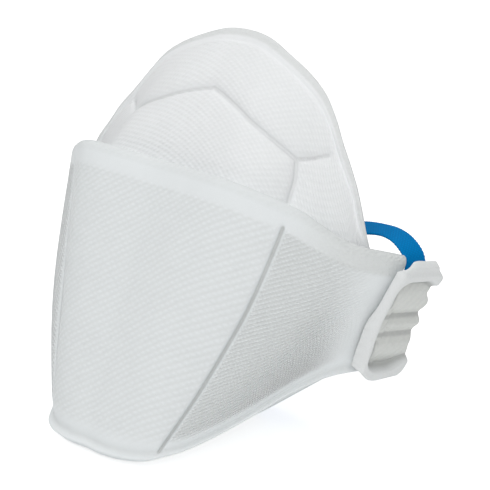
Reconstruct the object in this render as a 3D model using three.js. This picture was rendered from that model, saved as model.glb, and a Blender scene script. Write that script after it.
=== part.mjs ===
// Disposable fold-flat respirator, opened: a front panel, a nose panel and a chin panel joined at
// their edges, two ribbed side tabs, and one elastic head strap threaded through both tabs.
// Millimetres, +Z up. The front faces -Y, the face opening +Y, and X runs from ear to ear. The mask
// stands on its bottom seam and its chin rim, and the origin lies under the middle of the whole.
import * as THREE from "three";

// ---- driving dimensions ----
const PANEL_THICKNESS = 1.6; // embossed filter laminate
const WELD_GAP = 0.3; // clearance between welded pieces
const HEM_RADIUS = 1.7; // roll of the front panel's top edge, to mid-thickness
const HEM_RETURN = 7; // depth of the hem inside the mask
const HEM_STEPS = 5;
const NOSE_TUCK = 8.5; // depth of the nose panel behind the crest
const SEAM_FLANGE = 2.8; // width of the welded seam under the front
const SIDE_FLANGE = 0.9; // width of the same seam beside the tabs
const SEAM_ANGLE = 35; // degrees that the seam turns out of the front panel
const FRONT_PILLOW = 1.6; // outward swell of the facets between grooves
const GROOVE_DEPTH = 0.7;
const GROOVE_HALF_WIDTH = 1.3;
const GROOVE_TOP = 0.09; // v where the grooves start below the crest
const HALF_CREST_LENGTH = 95; // length of the crest from the middle to a tab
const NOSE_DOME = 7; // swell of the nose panel at its ridge
const RIM_BAND = 3.5; // flat rim of the nose panel
const CHIN_PILLOW = 0.8;
const CHIN_GAP = 0.9; // clearance under the seam flange
const TAB_THICKNESS = 1.6;
const TAB_BEAD_HEIGHT = 1.9;
const TAB_BEAD_WIDTH = 3.4;
const TAB_CORNER = 0.07; // share of the tab's height that its two front corners are cut back
const STRAP_WIDTH = 8;
const STRAP_THICKNESS = 1.1;
const STRAP_STEPS_PER_MM = 0.2;
const ORIGIN_SHIFT = { y: 28.32, z: 2.11 }; // from the tables' zero to the part's origin

// ---- edges of the panels, from the middle (u 0) to the side tab (u 1), right half ----
const CREST = [
  { u: 0.0, x: 0, y: -32.9, z: 88.2 },
  { u: 0.12, x: 12, y: -33.7, z: 88.6 },
  { u: 0.25, x: 25, y: -34.9, z: 89.0 },
  { u: 0.36, x: 36, y: -34.3, z: 88.4 },
  { u: 0.44, x: 43.5, y: -31.3, z: 86.3 },
  { u: 0.5, x: 49.5, y: -27.6, z: 83.8 },
  { u: 0.58, x: 55, y: -24.3, z: 81.0 },
  { u: 0.66, x: 60, y: -20.8, z: 77.0 },
  { u: 0.75, x: 65, y: -16.8, z: 73.0 },
  { u: 0.84, x: 69.6, y: -12.2, z: 70.2 },
  { u: 0.92, x: 73.6, y: -5.2, z: 67.9 },
  { u: 1.0, x: 76.1, y: 1.2, z: 65.9 },
];
const SEAM = [
  { u: 0.0, x: 0, y: -66.0, z: 2.4 },
  { u: 0.15, x: 8, y: -66.4, z: 2.4 },
  { u: 0.3, x: 16, y: -65.0, z: 2.5 },
  { u: 0.42, x: 22.5, y: -61.8, z: 2.8 },
  { u: 0.5, x: 26.5, y: -58.0, z: 3.6 },
  { u: 0.58, x: 31.5, y: -52.2, z: 5.6 },
  { u: 0.66, x: 38, y: -45.3, z: 10.2 },
  { u: 0.75, x: 46, y: -36.6, z: 17.2 },
  { u: 0.84, x: 54, y: -27.2, z: 24.9 },
  { u: 0.92, x: 61.5, y: -17.8, z: 30.2 },
  { u: 1.0, x: 68.4, y: -8.2, z: 32.2 },
];
const NOSE_RIM = [
  { u: 0.0, x: 0, y: 6.0, z: 125.8 },
  { u: 0.12, x: 10, y: 5.2, z: 125.0 },
  { u: 0.25, x: 20, y: 4.0, z: 121.7 },
  { u: 0.38, x: 30, y: 3.4, z: 117.3 },
  { u: 0.48, x: 38, y: 2.6, z: 112.2 },
  { u: 0.56, x: 44.1, y: 1.2, z: 105.7 },
  { u: 0.64, x: 49.8, y: -0.9, z: 98.5 },
  { u: 0.72, x: 55, y: -2.7, z: 92.5 },
  { u: 0.79, x: 59.0, y: -4.0, z: 86.8 },
  { u: 0.86, x: 64.2, y: -6.4, z: 78.5 },
  { u: 0.92, x: 66.0, y: -5.9, z: 71.0 },
  { u: 1.0, x: 66.8, y: -4.0, z: 62.0 },
];
const CHIN_RIM = [
  { u: 0.0, x: 0, y: -1.5, z: -1.1 },
  { u: 0.2, x: 9, y: -1.7, z: -1.1 },
  { u: 0.32, x: 15, y: -2.4, z: 1.6 },
  { u: 0.5, x: 30, y: -4, z: 12.2 },
  { u: 0.66, x: 44, y: -5, z: 20.5 },
  { u: 0.8, x: 56, y: -6, z: 27.2 },
  { u: 1.0, x: 65, y: -7.5, z: 30.2 },
];

// ---- grooves of the front panel: their u between crest (v 0) and seam (v 1) ----
const GROOVE_PATH = [
  { v: 0.0, u: 0.525 },
  { v: 0.3, u: 0.56 },
  { v: 0.6, u: 0.55 },
  { v: 1.0, u: 0.5 },
];

// ---- swell of the nose panel: where its ridge runs between foot (v 0) and rim (v 1) ----
const RIDGE = [
  { u: 0.0, v: 0.66, dome: 0.53 },
  { u: 0.2, v: 0.66, dome: 0.36 },
  { u: 0.4, v: 0.62, dome: -0.02 },
  { u: 0.52, v: 0.54, dome: -0.2 },
  { u: 0.7, v: 0.45, dome: 0 },
  { u: 1.0, v: 0.5, dome: 0 },
];

// ---- side tab: height over its floor (h) and reach of its rear edge, top (p 0) to bottom (p 1) ----
const TAB_PROFILE = [
  { p: 0.0, h: 2.4, reach: 12.4 },
  { p: 0.045, h: 3.4, reach: 14.2 },
  { p: 0.09, h: 3.0, reach: 14.8 },
  { p: 0.13, h: 1.0, reach: 14.6 },
  { p: 0.16, h: -0.6, reach: 14.0 },
  { p: 0.22, h: 0.3, reach: 13.6 },
  { p: 0.29, h: 1.3, reach: 14.8 },
  { p: 0.37, h: 1.1, reach: 15.2 },
  { p: 0.43, h: -0.5, reach: 14.4 },
  { p: 0.47, h: 0.8, reach: 15.0 },
  { p: 0.53, h: 1.2, reach: 15.6 },
  { p: 0.58, h: 0.7, reach: 15.0 },
  { p: 0.62, h: -0.5, reach: 14.4 },
  { p: 0.67, h: 0.6, reach: 15.4 },
  { p: 0.75, h: 1.2, reach: 15.6 },
  { p: 0.82, h: 0.4, reach: 15.2 },
  { p: 0.87, h: -0.7, reach: 15.4 },
  { p: 0.91, h: 1.4, reach: 15.8 },
  { p: 0.955, h: 2.8, reach: 15.4 },
  { p: 1.0, h: 2.2, reach: 14.2 },
];
const TAB_FRONT = {
  top: { x: 76.9, y: -4.3, z: 67.0 },
  bottom: { x: 69.0, y: -15.0, z: 28.0 },
};
const TAB_BACK = { x: 0.2, y: 0.97, z: -0.1 }; // direction from the front bead to the rear edge

// ---- head strap: centre line of the right half, from the middle of the upper run down through
// the tab to the middle of the lower run ----
const STRAP_LINE = [
  { x: 0, y: 8.5, z: 57.5 },
  { x: 16, y: 8.3, z: 59.3 },
  { x: 32, y: 7.8, z: 63.9 },
  { x: 46, y: 7.2, z: 68.4 },
  { x: 56, y: 6.8, z: 70.4 },
  { x: 64, y: 6.6, z: 71.0 },
  { x: 70.0, y: 6.8, z: 69.6 },
  { x: 74.4, y: 7.1, z: 65.6 },
  { x: 75.6, y: 6.7, z: 60.0 },
  { x: 74.4, y: 5.0, z: 52.0 },
  { x: 72.7, y: 2.8, z: 43.5 },
  { x: 70.9, y: 1.0, z: 35.5 },
  { x: 68.0, y: 1.0, z: 29.6 },
  { x: 62.0, y: 2.0, z: 26.8 },
  { x: 52, y: 3.2, z: 24.6 },
  { x: 38, y: 4.4, z: 20.4 },
  { x: 20, y: 5.4, z: 15.0 },
  { x: 0, y: 5.8, z: 12.5 },
];

// ---- columns and rows of the sheets, closer together at grooves and bends ----
const FRONT_COLUMNS = [
  0, 0.1, 0.2, 0.3, 0.38, 0.44, 0.475, 0.5, 0.525, 0.56, 0.62, 0.7, 0.78, 0.86, 0.93, 1,
];
const FRONT_ROWS = [0.045, 0.11, 0.22, 0.36, 0.5, 0.64, 0.78, 0.9, 1];
const NOSE_COLUMNS = [0, 0.1, 0.2, 0.3, 0.4, 0.48, 0.54, 0.6, 0.68, 0.76, 0.84, 0.92, 1];
const NOSE_ROWS_TO_RIDGE = [0, 0.2, 0.45, 0.7, 0.9, 1];
const NOSE_ROWS_TO_RIM = [0.2, 0.5, 0.8, 1];
const CHIN_COLUMNS = [0, 0.1, 0.2, 0.3, 0.4, 0.5, 0.6, 0.7, 0.8, 0.9, 1];
const CHIN_ROWS = [0, 0.12, 0.3, 0.5, 0.7, 0.88, 1];
const TAB_COLUMNS = [0, 0.1, 0.2, 0.32, 0.5, 0.75, 1];

// ---- vectors and curves ----
const vec = ({ x, y, z }) => new THREE.Vector3(x, y, z);
const along = (start, way, distance) => start.clone().addScaledVector(way, distance);
const between = (start, end, t) => start.clone().lerp(end, t);
const direction = (start, end) => end.clone().sub(start).normalize();
const mirrored = (point) => new THREE.Vector3(-point.x, point.y, point.z);

// Cubic Hermite value of one column of a table at key, with slopes taken from the rows around.
function interpolate(rows, keyName, column, key) {
  let i = 0;
  while (i < rows.length - 2 && key > rows[i + 1][keyName]) i += 1;
  const slope = (k) => {
    const a = rows[Math.max(k - 1, 0)];
    const b = rows[Math.min(k + 1, rows.length - 1)];
    return (b[column] - a[column]) / (b[keyName] - a[keyName]);
  };
  const span = rows[i + 1][keyName] - rows[i][keyName];
  const t = THREE.MathUtils.clamp((key - rows[i][keyName]) / span, 0, 1);
  const t2 = t * t;
  const t3 = t2 * t;
  return (
    (2 * t3 - 3 * t2 + 1) * rows[i][column] +
    (t3 - 2 * t2 + t) * span * slope(i) +
    (3 * t2 - 2 * t3) * rows[i + 1][column] +
    (t3 - t2) * span * slope(i + 1)
  );
}

// An edge of the mask: the table's half and its mirror image, for u from -1 to 1.
function mirroredEdge(rows) {
  const next = rows[1];
  const full = [{ ...next, u: -next.u, x: -next.x }, ...rows];
  return (u) => {
    const x = interpolate(full, "u", "x", Math.abs(u));
    const y = interpolate(full, "u", "y", Math.abs(u));
    const z = interpolate(full, "u", "z", Math.abs(u));
    return new THREE.Vector3(u < 0 ? -x : x, y, z);
  };
}

const crest = mirroredEdge(CREST);
const seam = mirroredEdge(SEAM);
const noseRim = mirroredEdge(NOSE_RIM);
const chinRim = mirroredEdge(CHIN_RIM);

// Both halves of a list of columns, from u -1 to u 1.
const bothSides = (columns) => [...columns.slice(1).reverse().map((u) => -u), ...columns];

// ---- closed sheets ----
// Unit normal of a grid of points: outward where columns run from left to right as seen from
// outside, and rows run down.
function gridNormal(grid, i, j) {
  const lastColumn = grid.length - 1;
  const lastRow = grid[i].length - 1;
  const column = direction(grid[Math.max(i - 1, 0)][j], grid[Math.min(i + 1, lastColumn)][j]);
  const row = direction(grid[i][Math.max(j - 1, 0)], grid[i][Math.min(j + 1, lastRow)]);
  return row.cross(column).normalize();
}

// Closed solid of a grid of mid-surface points, thickened evenly to both sides.
function sheetGeometry(grid, thickness) {
  const columns = grid.length;
  const rows = grid[0].length;
  const positions = [];
  for (const side of [0.5, -0.5]) {
    for (let i = 0; i < columns; i += 1) {
      for (let j = 0; j < rows; j += 1) {
        positions.push(...along(grid[i][j], gridNormal(grid, i, j), side * thickness));
      }
    }
  }
  const outer = (i, j) => i * rows + j;
  const inner = (i, j) => columns * rows + i * rows + j;
  const indices = [];
  const quad = (a, b, c, d) => indices.push(a, b, c, a, c, d);
  for (let i = 0; i < columns - 1; i += 1) {
    for (let j = 0; j < rows - 1; j += 1) {
      quad(outer(i, j), outer(i, j + 1), outer(i + 1, j + 1), outer(i + 1, j));
      quad(inner(i, j), inner(i + 1, j), inner(i + 1, j + 1), inner(i, j + 1));
    }
  }
  const bottom = rows - 1;
  const right = columns - 1;
  for (let i = 0; i < columns - 1; i += 1) {
    quad(outer(i, 0), outer(i + 1, 0), inner(i + 1, 0), inner(i, 0));
    quad(outer(i + 1, bottom), outer(i, bottom), inner(i, bottom), inner(i + 1, bottom));
  }
  for (let j = 0; j < rows - 1; j += 1) {
    quad(outer(0, j + 1), outer(0, j), inner(0, j), inner(0, j + 1));
    quad(outer(right, j), outer(right, j + 1), inner(right, j + 1), inner(right, j));
  }
  return solid(positions, indices);
}

function solid(positions, indices) {
  const geometry = new THREE.BufferGeometry();
  geometry.setAttribute("position", new THREE.Float32BufferAttribute(positions, 3));
  geometry.setIndex(indices);
  geometry.computeVertexNormals();
  return geometry;
}

// ---- front panel ----
// Outward normal of the plain surface between crest and seam.
function frontNormal(u, v) {
  const step = 0.01;
  const at = (a, b) => between(crest(a), seam(a), b);
  const across = at(u + step, v).sub(at(u - step, v));
  const down = at(u, 1).sub(at(u, 0));
  return down.cross(across).normalize();
}

// u of a column that keeps to its side of the groove, whose own column is 0.5.
function columnU(column, v) {
  const groove = interpolate(GROOVE_PATH, "v", "u", v);
  const a = Math.abs(column);
  const u = a < 0.5 ? 2 * a * groove : groove + (2 * a - 1) * (1 - groove);
  return column < 0 ? -u : u;
}

// Swell of the facets beside the grooves, and dent of the grooves.
function frontRelief(column, v) {
  const a = Math.abs(column);
  const swell = a < 0.5 ? Math.sqrt(Math.cos(a * Math.PI)) : Math.sin((2 * a - 1) ** 0.6 * Math.PI);
  const offset = (a - 0.5) * HALF_CREST_LENGTH;
  const groove = GROOVE_DEPTH * Math.exp(-((offset / GROOVE_HALF_WIDTH) ** 2));
  const inGroove = v > GROOVE_TOP && v < 1 ? groove : 0;
  return FRONT_PILLOW * swell * Math.sin(Math.PI * v) - inGroove;
}

function frontPoint(column, v) {
  const u = columnU(column, v);
  return along(between(crest(u), seam(u), v), frontNormal(u, v), frontRelief(column, v));
}

// Way, normal and width of the welded seam flange below the front panel.
function seamFlange(u) {
  const down = direction(crest(u), seam(u));
  const out = frontNormal(u, 1);
  const angle = THREE.MathUtils.degToRad(SEAM_ANGLE);
  const way = along(down.clone().multiplyScalar(Math.cos(angle)), out, Math.sin(angle));
  const normal = along(out.clone().multiplyScalar(Math.cos(angle)), down, -Math.sin(angle));
  const side = THREE.MathUtils.smoothstep(Math.abs(u), 0.45, 0.75);
  return { way, normal, width: THREE.MathUtils.lerp(SEAM_FLANGE, SIDE_FLANGE, side) };
}

// One column of the front panel: hem inside the mask, roll over the crest, face, seam flange.
function frontColumn(column) {
  const u = columnU(column, 0);
  const foot = columnU(column, 1);
  const top = crest(u);
  const down = direction(top, seam(u));
  const out = frontNormal(u, 0);
  const place = (outward, depth) => along(along(top, out, outward), down, depth);
  const points = [
    place(-2 * HEM_RADIUS, HEM_RETURN),
    place(-2 * HEM_RADIUS, (HEM_RETURN + HEM_RADIUS) / 2),
  ];
  for (let k = 0; k < HEM_STEPS; k += 1) {
    const angle = Math.PI * (1 - k / HEM_STEPS);
    points.push(place(HEM_RADIUS * (Math.cos(angle) - 1), HEM_RADIUS * (1 - Math.sin(angle))));
  }
  points.push(...FRONT_ROWS.map((v) => frontPoint(column, v)));
  const { way, width } = seamFlange(foot);
  points.push(along(seam(foot), way, width / 2), along(seam(foot), way, width));
  return points;
}

// ---- nose panel ----
function noseFoot(u) {
  const inward = 2 * HEM_RADIUS + PANEL_THICKNESS + WELD_GAP;
  const down = direction(crest(u), seam(u));
  return along(along(crest(u), frontNormal(u, 0), -inward), down, NOSE_TUCK);
}

function nosePoint(u, v, dome) {
  const step = 0.01;
  const at = (a, b) => between(noseFoot(a), noseRim(a), b);
  const across = at(u + step, v).sub(at(u - step, v));
  const normal = at(u, 0).sub(at(u, 1)).cross(across).normalize();
  return along(at(u, v), normal, dome);
}

// One column of the nose panel: flat rim band, upper facet, ridge, lower facet, foot.
function noseColumn(u) {
  const ridge = interpolate(RIDGE, "u", "v", Math.abs(u));
  const swell = NOSE_DOME * interpolate(RIDGE, "u", "dome", Math.abs(u));
  const band = 1 - RIM_BAND / noseFoot(u).distanceTo(noseRim(u));
  const points = [nosePoint(u, 1, 0)];
  for (const t of NOSE_ROWS_TO_RIM.toReversed()) {
    const v = THREE.MathUtils.lerp(ridge, Math.max(band, ridge + 0.1), t);
    points.push(nosePoint(u, v, swell * (1 - t ** 1.5)));
  }
  for (const t of NOSE_ROWS_TO_RIDGE.toReversed()) {
    points.push(nosePoint(u, t * ridge, swell * Math.sin((t * Math.PI) / 2)));
  }
  return points;
}

// ---- chin panel ----
const MASK_MIDDLE = new THREE.Vector3(0, -25, 45);

// One column of the chin panel: weld under the seam flange, sheet back to the chin rim.
function chinColumn(u) {
  const { way, normal, width } = seamFlange(u);
  const foot = along(seam(u), normal, -(PANEL_THICKNESS + CHIN_GAP));
  const points = [along(foot, way, width)];
  for (const v of CHIN_ROWS) {
    const swell = CHIN_PILLOW * Math.sin(Math.PI * v) ** 2 * Math.sin(Math.PI * Math.abs(u));
    const plain = between(foot, chinRim(u), v);
    points.push(along(plain, direction(MASK_MIDDLE, plain), swell));
  }
  return points;
}

// ---- side tabs ----
const tabTop = vec(TAB_FRONT.top);
const tabBottom = vec(TAB_FRONT.bottom);
const tabBack = vec(TAB_BACK).normalize();
const tabNormal = direction(tabTop, tabBottom).cross(tabBack).normalize();

// Height of the tab over its floor: the ribbed profile, and a raised bead along the front.
function tabHeight(p, distance) {
  const profile = interpolate(TAB_PROFILE, "p", "h", p);
  const bead = Math.cos(Math.min(distance / TAB_BEAD_WIDTH, 1) * (Math.PI / 2));
  return Math.max(profile, TAB_BEAD_HEIGHT * bead);
}

function tabColumn(q) {
  const corner = TAB_CORNER * (1 - q) ** 4;
  return TAB_PROFILE.map(({ p, reach }) => {
    const front = between(tabTop, tabBottom, THREE.MathUtils.lerp(corner, 1 - corner, p));
    const base = along(front, tabBack, q * reach);
    return along(base, tabNormal, tabHeight(p, q * reach));
  });
}

// ---- head strap ----
// Closed band with a rectangular section, swept round both halves of the line.
function strapGeometry() {
  const half = STRAP_LINE.map(vec);
  const otherHalf = half.slice(1, -1).reverse().map(mirrored);
  const route = new THREE.CatmullRomCurve3([...half, ...otherHalf], true, "centripetal");
  const steps = Math.round(route.getLength() * STRAP_STEPS_PER_MM);
  const corners = [
    { wide: -0.5, flat: -0.5 },
    { wide: 0.5, flat: -0.5 },
    { wide: 0.5, flat: 0.5 },
    { wide: -0.5, flat: 0.5 },
  ];
  const positions = [];
  const indices = [];
  for (let k = 0; k < steps; k += 1) {
    const point = route.getPointAt(k / steps);
    const tangent = route.getTangentAt(k / steps);
    const lean = THREE.MathUtils.clamp(point.x / tabTop.x, -1, 1);
    const back = new THREE.Vector3(TAB_BACK.x * lean, TAB_BACK.y, 0);
    const flatWay = tangent.clone().cross(back).normalize();
    const wideWay = flatWay.clone().cross(tangent).normalize();
    for (const { wide, flat } of corners) {
      const side = along(point, wideWay, wide * STRAP_WIDTH);
      positions.push(...along(side, flatWay, flat * STRAP_THICKNESS));
    }
    const here = 4 * k;
    const next = 4 * ((k + 1) % steps);
    for (let c = 0; c < 4; c += 1) {
      const d = (c + 1) % 4;
      indices.push(here + c, here + d, next + d, here + c, next + d, next + c);
    }
  }
  return solid(positions, indices);
}

// ---- pieces ----
const respirator = new THREE.Group();
respirator.position.set(0, ORIGIN_SHIFT.y, ORIGIN_SHIFT.z);

function addPiece(name, geometry, color, roughness) {
  const material = new THREE.MeshStandardMaterial({ color, roughness, metalness: 0 });
  const piece = new THREE.Mesh(geometry, material);
  piece.name = name;
  respirator.add(piece);
}

const frontGrid = bothSides(FRONT_COLUMNS).map(frontColumn);
const noseGrid = bothSides(NOSE_COLUMNS).map(noseColumn);
const chinGrid = bothSides(CHIN_COLUMNS).map(chinColumn);
const tabGrid = TAB_COLUMNS.map(tabColumn);
const otherTabGrid = tabGrid.map((column) => column.map(mirrored)).reverse();

addPiece("front_panel", sheetGeometry(frontGrid, PANEL_THICKNESS), 0xf1f4f3, 0.9);
addPiece("nose_panel", sheetGeometry(noseGrid, PANEL_THICKNESS), 0xf3f5f5, 0.9);
addPiece("chin_panel", sheetGeometry(chinGrid, PANEL_THICKNESS), 0xeff2f1, 0.9);
addPiece("side_tab_right", sheetGeometry(tabGrid, TAB_THICKNESS), 0xeceeea, 0.85);
addPiece("side_tab_left", sheetGeometry(otherTabGrid, TAB_THICKNESS), 0xeceeea, 0.85);
addPiece("head_strap", strapGeometry(), 0x0c73b0, 0.7);

export default respirator;
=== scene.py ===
"""Disposable fold-flat respirator: embossed cloth panels, ribbed side tabs and a braided head strap.

The frame is the respirator's own: +Z up, the front faces -Y, and +X points to the wearer's left ear.
Shapes are worked out in millimetres and become metres when a mesh is made.
"""

import math

import bmesh
import bpy
import numpy as np
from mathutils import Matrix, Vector


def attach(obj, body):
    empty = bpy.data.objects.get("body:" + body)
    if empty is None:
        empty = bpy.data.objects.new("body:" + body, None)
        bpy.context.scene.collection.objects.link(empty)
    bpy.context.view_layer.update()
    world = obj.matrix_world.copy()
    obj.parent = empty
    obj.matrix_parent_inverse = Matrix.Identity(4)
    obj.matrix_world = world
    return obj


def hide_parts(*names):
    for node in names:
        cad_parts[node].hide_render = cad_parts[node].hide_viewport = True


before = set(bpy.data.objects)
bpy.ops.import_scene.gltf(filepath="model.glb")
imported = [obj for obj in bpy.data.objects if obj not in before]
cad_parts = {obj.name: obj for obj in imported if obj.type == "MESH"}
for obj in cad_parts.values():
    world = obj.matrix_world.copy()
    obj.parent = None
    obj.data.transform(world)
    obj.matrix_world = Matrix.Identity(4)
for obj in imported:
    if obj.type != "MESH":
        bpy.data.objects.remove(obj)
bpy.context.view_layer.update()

bl_info = {
    "name": "Fold-flat respirator",
    "version": (1, 0, 0),
    "blender": (4, 5, 0),
    "location": "3D View > Sidebar > Respirator",
    "description": "Builds a disposable fold-flat respirator with its panels, side tabs and strap",
    "category": "Add Mesh",
}

MM = 0.001
ORIGIN_SHIFT = np.array([0.0, 28.32, 2.11])  # from the tables' zero to the part's origin

# ---- edges of the panels on the +X side, from the middle (u 0) to the side tab (u 1): u, x, y, z ----
CREST = np.array([
    (0.0, 0, -32.9, 88.2),
    (0.12, 12, -33.7, 88.6),
    (0.25, 25, -34.9, 89.0),
    (0.36, 36, -34.3, 88.4),
    (0.44, 43.5, -31.3, 86.3),
    (0.5, 49.5, -27.6, 83.8),
    (0.58, 55, -24.3, 81.0),
    (0.66, 60, -20.8, 77.0),
    (0.75, 65, -16.8, 73.0),
    (0.84, 69.6, -12.2, 70.2),
    (0.92, 73.6, -5.2, 67.9),
    (1.0, 76.1, 1.2, 65.9),
])
SEAM = np.array([
    (0.0, 0, -66.0, 2.4),
    (0.15, 8, -66.4, 2.4),
    (0.3, 16, -65.0, 2.5),
    (0.42, 22.5, -61.8, 2.8),
    (0.5, 26.5, -58.0, 3.6),
    (0.58, 31.5, -52.2, 5.6),
    (0.66, 38, -45.3, 10.2),
    (0.75, 46, -36.6, 17.2),
    (0.84, 54, -27.2, 24.9),
    (0.92, 61.5, -17.8, 30.2),
    (1.0, 68.4, -8.2, 32.2),
])
NOSE_RIM = np.array([
    (0.0, 0, 6.0, 125.8),
    (0.12, 10, 5.2, 125.0),
    (0.25, 20, 4.0, 121.7),
    (0.38, 30, 3.4, 117.3),
    (0.48, 38, 2.6, 112.2),
    (0.56, 44.1, 1.2, 105.7),
    (0.64, 49.8, -0.9, 98.5),
    (0.72, 55, -2.7, 92.5),
    (0.79, 59.0, -4.0, 86.8),
    (0.86, 64.2, -6.4, 78.5),
    (0.92, 66.0, -5.9, 71.0),
    (1.0, 66.8, -4.0, 62.0),
])
CHIN_RIM = np.array([
    (0.0, 0, -1.5, -1.1),
    (0.2, 9, -1.7, -1.1),
    (0.32, 15, -2.4, 1.6),
    (0.5, 30, -4, 12.2),
    (0.66, 44, -5, 20.5),
    (0.8, 56, -6, 27.2),
    (1.0, 65, -7.5, 30.2),
])
GROOVE_PATH = np.array([  # v, u of the front grooves, wearer's left and right
    (0.0, 0.53, 0.47),
    (0.15, 0.545, 0.475),
    (0.4, 0.558, 0.47),
    (0.6, 0.548, 0.46),
    (0.8, 0.528, 0.47),
    (1.0, 0.49, 0.47),
])
NOSE_RIDGE = np.array([  # u, v of the ridge, share of the full swell there
    (0.0, 0.66, 0.53),
    (0.2, 0.66, 0.36),
    (0.4, 0.62, -0.02),
    (0.52, 0.54, -0.2),
    (0.7, 0.45, 0.0),
    (1.0, 0.5, 0.0),
])
# Columns of points from a panel's middle to its side: stretches with their start, end and step
FRONT_COLUMNS = ((0, 0.46, 0.011), (0.46, 0.54, 0.0034), (0.54, 0.985, 0.011))
NOSE_COLUMNS = ((0, 0.985, 0.0088),)
CHIN_COLUMNS = ((0, 0.985, 0.012),)
GROOVE_COLUMN = 0.5  # column of the front panel that runs down its groove
GROOVE_TOP = 4.6  # mm below the crest where the grooves start
HALF_CREST_LENGTH = 95
PANEL_WALL = 1.6  # mm of cloth that neighbouring panels keep clear of
HEM_RADIUS = 1.7
HEM_RETURN = 7  # mm of hem folded down inside the crest
NOSE_TUCK = 8.5  # mm that the nose panel reaches down behind the crest
SEAM_FLANGE = 2.8  # width of the welded flange at the bottom
SIDE_FLANGE = 0.9  # and towards the tabs
SEAM_ROOT = 1.9  # half width of the valley above the flange
SEAM_ANGLE = math.radians(35)
FILLET = 1.5
FRONT_PILLOW = 1.6  # mm that the front's facets swell
RIGHT_WING_SWELL = 2.3  # the wearer's right wing bulges more than the left
NOSE_DOME = 7
NOSE_WELD_SHARE = 0.8  # depth of the nose's weld lines as a share of the groove depth
NOSE_ROOT = 1.3  # half width of the valley inside the nose rim
NOSE_QUILT_REACH = 4.5  # mm over which the nose sinks towards a weld line
RIM_BAND = 3.5
RIM_SHADE = 0.85
CHIN_PILLOW = 0.8
CHIN_GAP = 0.4
CHIN_FLANGE_CUT = 0.4  # how much narrower the chin's flange is than the front's
CHIN_HALF_LENGTH = 80
CHIN_WELDS = (4.5, 2.8)  # mm from the rim and from the foot to the chin's weld lines
WELD_GAP = 0.3
MASK_MIDDLE = np.array([0, -25, 45])

# Weld lines of the nose panel's +X side, as its own u and v
NOSE_WELDS = (
    ((0, 0.612), (0.115, 0.571), (0.235, 0.53), (0.343, 0.508), (0.42, 0.503), (0.48, 0.498)),
    ((0.48, 0.498), (0.535, 0.61), (0.588, 0.745)),
    ((0.48, 0.498), (0.5, 0.388), (0.512, 0.205)),
)

# Finish of the front panel: plain cloth below the crest on the middle facet and the wings, then the
# stretches in mm over which its emboss fades in from the side, above the seam and beside a groove
PLAIN_CREST = (4.6, 3.0)
CREST_FADE = 1.6
SIDE_FADE = (5.0, 24.0)
SEAM_FADE = (1.5, 7.0)
GROOVE_FADE = (0.7, 1.7)
WING_START = (0.45, 0.8)  # columns over which the middle facet's finish becomes the wing's
ROLL_EMBOSS = 0.2  # emboss left on the rolled edge
# The shade values below paint shade into the front's colour: on its rolled edge, on the wings' band below the
# crest and in the valley above the seam
ROLL_SHADE = 0.3  # shade of the rolled edge on the middle facet, where the wings have 1
CREST_SHADE = 0.9
CREST_SHADE_WIDTH = 5.5
SEAM_SHADE = 0.45
SEAM_SHADE_WIDTH = 1.4
CREASE_INSIDE = 0.2  # share of a dent that shows on the inner side

# Slants in degrees of the two sets of emboss furrows on each facet, and how much finer they are
CENTRE_SLANTS = (35, -35)
WING_SLANTS = (35, -45)
NOSE_SLANTS = (18, -45)
TAB_SLANTS = (47, -50)
WING_FINENESS = 1.5
NOSE_FINENESS = 1.2

# ---- side tab, in mm: along from its top to its bottom, back from its front line, height off its plane ----
TAB_TOP = np.array([76.9, -4.3, 67.0])
TAB_BOTTOM = np.array([69.0, -15.0, 28.0])
TAB_BACK = np.array([0.2, 0.97, -0.1])
TAB_PROFILE = np.array([  # along as a share, height of the bay's floor, height of the rim
    (0.0, -0.6, 2.0),
    (0.035, -0.7, 3.3),
    (0.07, -0.8, 2.7),
    (0.11, -1.2, 3.2),
    (0.15, -1.6, 2.8),
    (0.19, -1.2, 2.4),
    (0.3, 0.4, 1.9),
    (0.4, 0.6, 1.9),
    (0.47, -1.5, 1.9),
    (0.54, 0.4, 1.9),
    (0.62, -1.4, 1.9),
    (0.7, 0.5, 1.9),
    (0.78, 0.3, 2.0),
    (0.87, -1.7, 2.3),
    (0.95, -0.8, 2.6),
    (1.0, -0.6, 2.0),
])
TAB_REAR = np.array([  # along as a share, how far back the tab reaches
    (0.0, 13.6),
    (0.05, 14.9),
    (0.15, 17.9),
    (0.21, 17.6),
    (0.27, 16.8),
    (0.3, 16.1),
    (0.35, 16.9),
    (0.39, 17.1),
    (0.44, 16.2),
    (0.5, 16.9),
    (0.55, 17.2),
    (0.6, 16.3),
    (0.64, 16.6),
    (0.7, 16.6),
    (0.75, 15.8),
    (0.81, 16.1),
    (0.9, 16.6),
    (0.96, 15.6),
    (1.0, 13.8),
])
TAB_ENDS = np.array([  # back, how much shorter the tab is at its top and at its bottom
    (-7.0, 8.6, 9.6),
    (-4.5, 7.0, 8.7),
    (-2.0, 6.4, 5.4),
    (0.6, 4.4, 3.0),
    (2.2, 2.1, 1.8),
    (3.6, 1.0, 1.0),
    (6.0, -0.3, 0.6),
    (10.0, -0.1, 1.3),
    (18.0, 0.2, 2.6),
])
TAB_FRONT = np.array([  # along as a share, back and height of the foot on the panel, back of the bead
    (0.0, 1.2, -1.45, 1.6),
    (0.25, -0.1, -1.8, 0.3),
    (0.5, -1.6, -2.6, -1.2),
    (0.75, -1.6, -3.4, -1.3),
    (1.0, -1.4, -3.6, -1.1),
])
TAB_BEAD_WIDTH = 2.2
TAB_BAY_TOP = 6.4
TAB_BAY_TOP_DROP = 2.2  # the bay's top border sinks this much towards the rear
TAB_BAY_BOTTOM = 37.2
TAB_BAY_BOTTOM_RISE = 3.0
TAB_BAY_CORNER = 4.0
TAB_HOLLOW = (22, 5, -3.0, 1.7)  # middle and reach of the bay's deepest place, along and in from its border
TAB_BAY_SLOPE = (-1.7, 0.3)  # from the bay's floor to its rim, across its border
TAB_TOP_SLOPE = (13, 18)  # stretches from front to rear over which those borders sink and rise
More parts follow.
